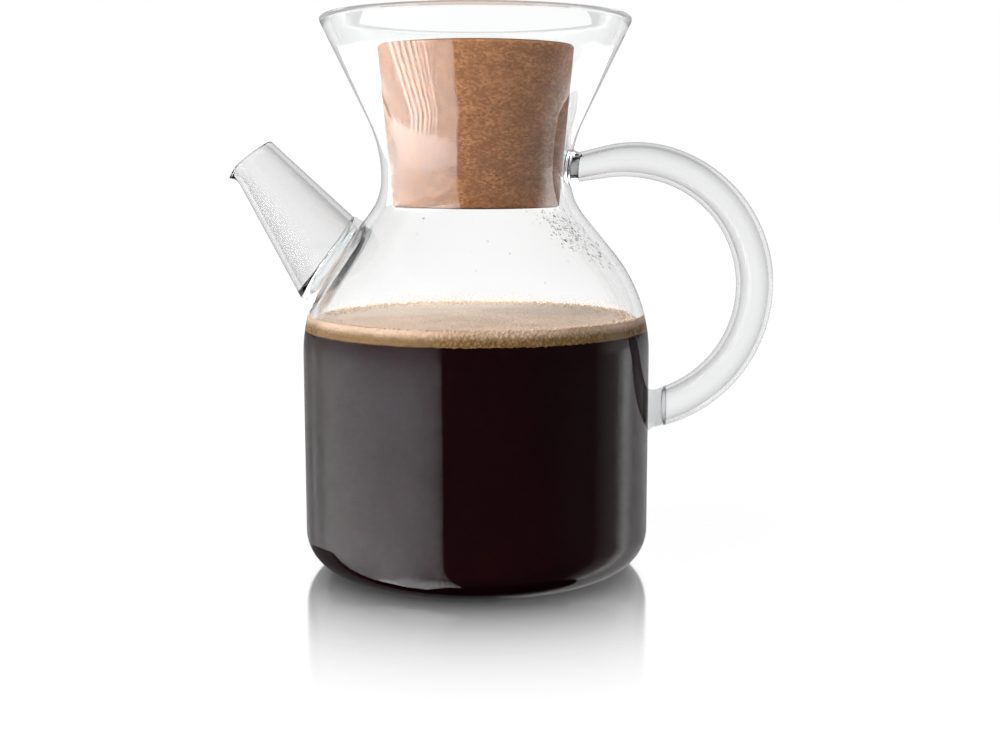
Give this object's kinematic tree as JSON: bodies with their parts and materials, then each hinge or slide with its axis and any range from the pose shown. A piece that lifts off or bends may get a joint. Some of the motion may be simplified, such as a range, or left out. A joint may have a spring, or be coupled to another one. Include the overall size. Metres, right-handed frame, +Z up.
{
  "type": "pour-over coffee maker",
  "caption": "Clear blown-glass pour-over coffee maker with a funnel neck, welded pouring spout, glass-tube handle and tapered cork stopper, holding brewed coffee.",
  "frame": {"origin": "centre of the flat foot, on the table, on the vessel's axis", "axes": "+Z up along the vessel's axis, +X towards the handle, the spout points to -X, Y is across"},
  "size_m": [0.1889, 0.12, 0.1893],
  "materials": {
    "clear_glass": "clear blown borosilicate glass, fire-polished edges",
    "weld_glass": "clear glass, flame-welded, slightly wavy",
    "cork": "fine pressed cork granules, matt",
    "coffee": "dark liquid coffee",
    "foam": "fine tan foam with larger bubbles at its edge"
  },
  "bodies": {
    "glass": {"vessel": "clear_glass", "spout": "clear_glass", "spout_weld": "weld_glass", "handle_tube": "clear_glass", "handle_upper_weld": "weld_glass", "handle_lower_weld": "weld_glass", "coffee": "coffee", "coffee_foam": "foam"},
    "stopper": {"cork_stopper": "cork"}
  },
  "joints": [
    {"name": "stopper_lift", "type": "slide", "parent": "glass", "child": "stopper", "axis": [0, 0, 1], "range_m": [0, 0.07]}
  ]
}
